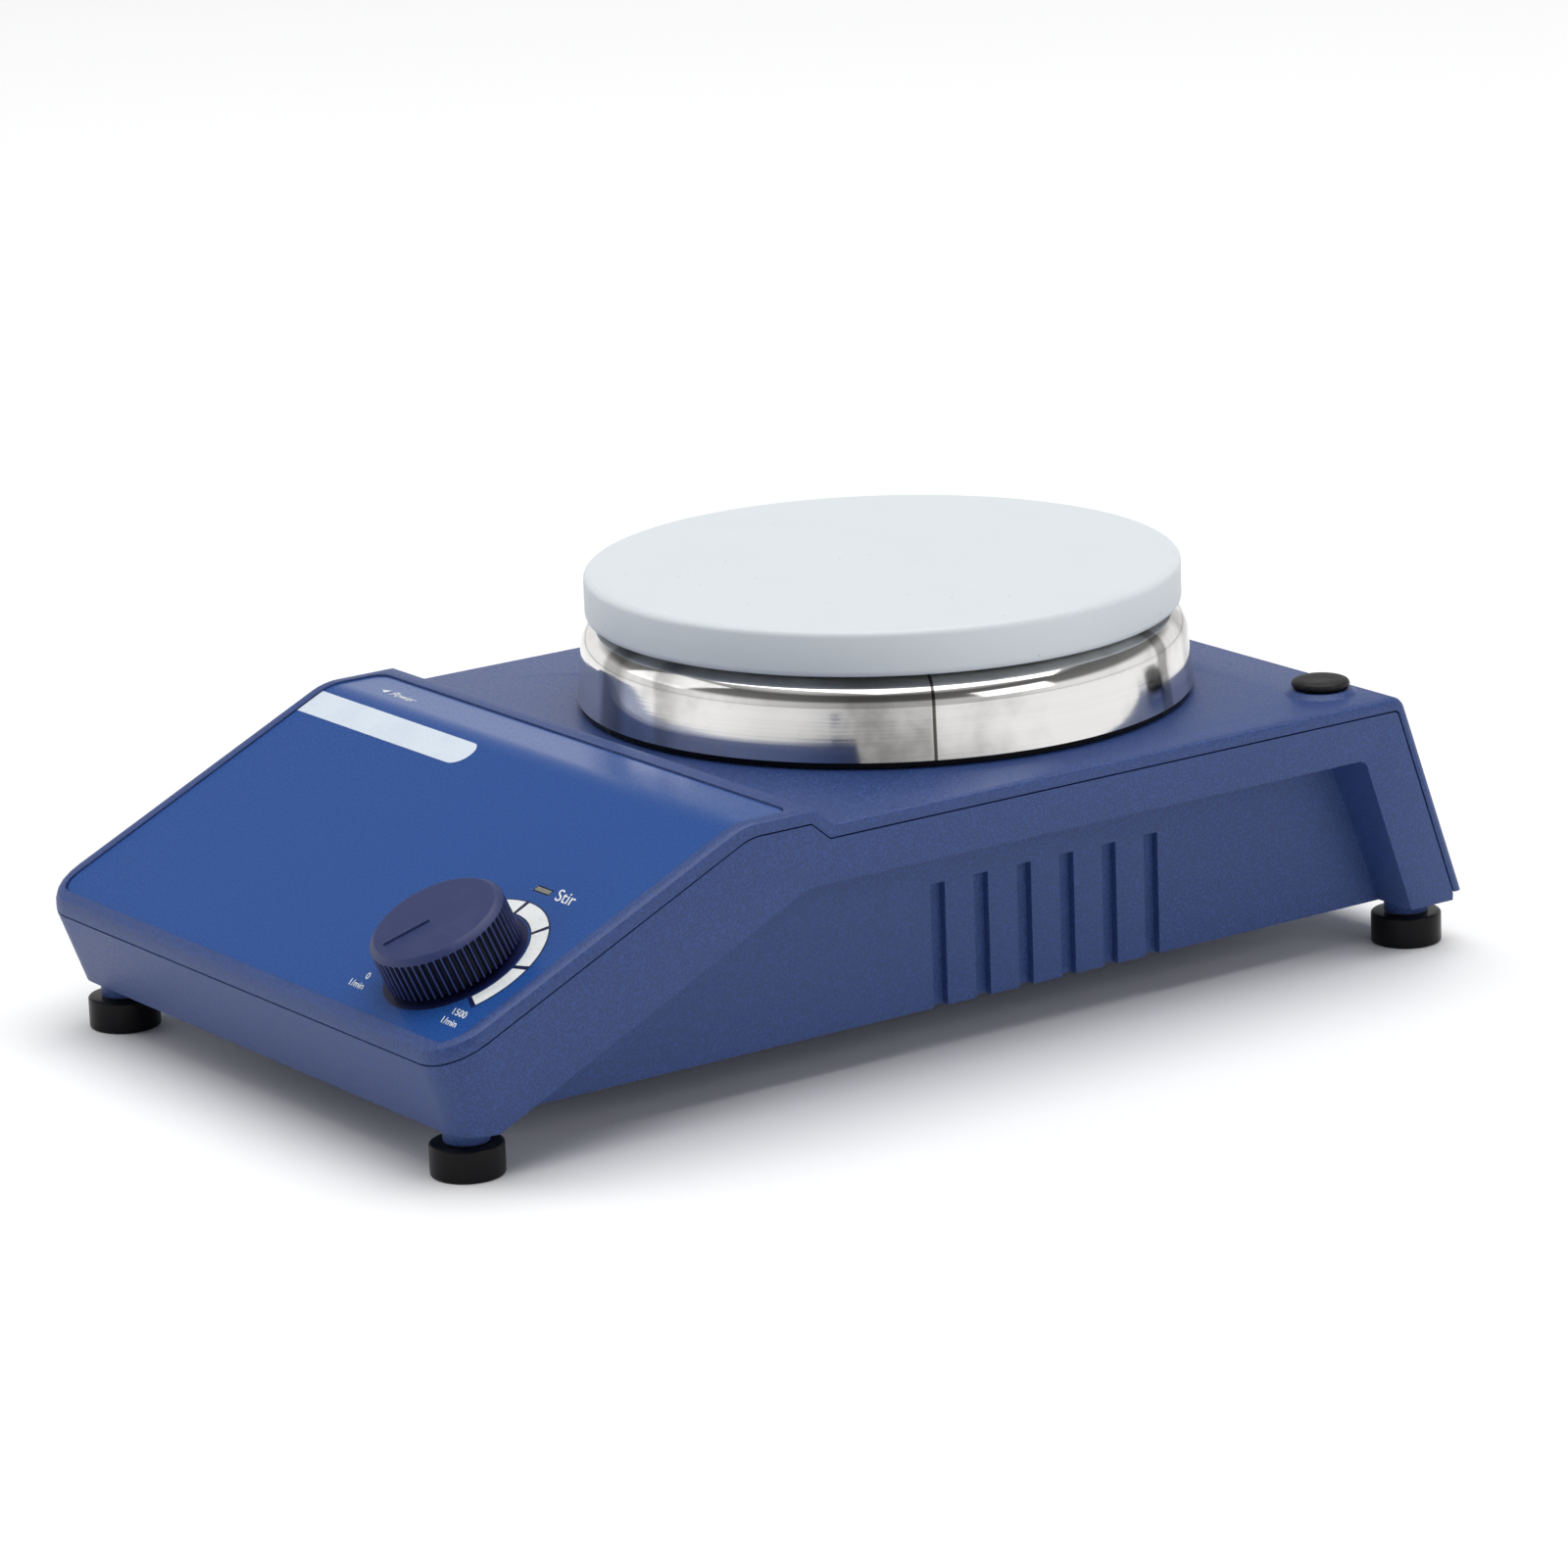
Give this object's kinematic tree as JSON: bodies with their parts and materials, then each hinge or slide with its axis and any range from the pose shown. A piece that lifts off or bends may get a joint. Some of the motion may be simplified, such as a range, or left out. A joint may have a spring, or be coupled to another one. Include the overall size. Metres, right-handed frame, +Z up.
{
  "type": "magnetic stirrer",
  "caption": "Bench-top magnetic stirrer with a sloping control panel, a speed knob and a round white-topped steel plate.",
  "frame": {"origin": "under the middle of the case, on the surface that the feet stand on", "axes": "+Z up, -Y towards the control panel, +Y towards the mains inlet, +X to the right seen from the panel"},
  "size_m": [0.15, 0.246, 0.0824],
  "materials": {
    "blue_plastic": "fine powder texture, low gloss",
    "panel_film": "glossy printed film",
    "knob_plastic": "dark navy moulded plastic",
    "black_plastic": "satin moulded plastic",
    "black_rubber": "moulded rubber",
    "mat_silicone": "white silicone, satin",
    "polished_steel": "polished stainless steel",
    "zinc_steel": "zinc plated steel",
    "brass": "turned or stamped brass",
    "iron": "laminated electrical steel",
    "copper": "enamelled copper winding under clear tape",
    "board_green": "glass fibre circuit board",
    "terminal_plastic": "moulded terminal strip",
    "capacitor_sleeve": "shrunk sleeve",
    "magnet_nickel": "nickel plated",
    "clear_glass": "clear",
    "lead_insulation": "soft insulation"
  },
  "bodies": {
    "case": {"control_overlay": "panel_film", "cover_screw_1": "zinc_steel", "cover_screw_2": "zinc_steel", "cover_screw_3": "zinc_steel", "cover_screw_4": "zinc_steel", "foot_front_left": "black_rubber", "foot_front_right": "black_rubber", "foot_rear_left": "black_rubber", "foot_rear_right": "black_rubber", "foot_screw_front_left": "zinc_steel", "foot_screw_front_right": "zinc_steel", "foot_screw_rear_left": "zinc_steel", "foot_screw_rear_right": "zinc_steel", "heat_sink": "zinc_steel", "inlet_housing": "black_plastic", "inlet_pin_earth": "brass", "inlet_pin_line": "brass", "inlet_pin_neutral": "brass", "lead_board_to_motor": "lead_insulation", "lead_inlet_to_board": "lead_insulation", "led_board": "board_green", "lower_housing": "blue_plastic", "mains_capacitor": "capacitor_sleeve", "motor_bolt_1": "zinc_steel", "motor_bolt_2": "zinc_steel", "motor_bracket_lower": "zinc_steel", "motor_bracket_upper": "zinc_steel", "motor_bush_lower": "brass", "motor_bush_upper": "brass", "motor_coil": "copper", "motor_grommet_1": "black_rubber", "motor_grommet_2": "black_rubber", "motor_plate": "zinc_steel", "plate_gasket": "black_rubber", "plate_post_1": "zinc_steel", "plate_post_2": "zinc_steel", "plate_post_3": "zinc_steel", "pot_body": "zinc_steel", "pot_nut": "brass", "rod_socket": "zinc_steel", "speed_board": "board_green", "stator_stack": "iron", "steel_plate": "polished_steel", "stir_led": "clear_glass", "switch_frame": "black_plastic", "terminal_block": "terminal_plastic", "upper_cover": "blue_plastic"},
    "knob": {"control_knob": "knob_plastic", "pot_shaft": "zinc_steel"},
    "rotor": {"motor_shaft": "polished_steel", "rotor_core": "iron", "magnet_carrier": "zinc_steel", "drive_magnet_1": "magnet_nickel", "drive_magnet_2": "magnet_nickel"},
    "rocker": {"power_rocker": "black_plastic"},
    "mat": {"silicone_mat": "mat_silicone"},
    "socket_plug": {"rod_plug": "black_rubber"},
    "fuse_holder": {"fuse_drawer": "black_plastic", "mains_fuse": "clear_glass"}
  },
  "joints": [
    {"name": "knob_turn", "type": "hinge", "parent": "case", "child": "knob", "pos_m": [0.0485, -0.10347, 0.03638], "axis": [0, 0.4179, -0.9085], "range_deg": [0, 290]},
    {"name": "rotor_spin", "type": "hinge", "parent": "case", "child": "rotor", "pos_m": [0, 0.03255, 0.031], "axis": [0, 0, 1], "continuous": true},
    {"name": "rocker_tilt", "type": "hinge", "parent": "case", "child": "rocker", "pos_m": [-0.0704, -0.0495, 0.0491], "axis": [0, 0, 1], "range_deg": [0, 16]},
    {"name": "mat_lift", "type": "slide", "parent": "case", "child": "mat", "axis": [0, 0, 1], "range_m": [0, 0.03]},
    {"name": "plug_pull", "type": "slide", "parent": "case", "child": "socket_plug", "axis": [0, 0, 1], "range_m": [0, 0.02]},
    {"name": "fuse_drawer_slide", "type": "slide", "parent": "case", "child": "fuse_holder", "axis": [0, 0.9298, 0.3681], "range_m": [0, 0.012]}
  ]
}
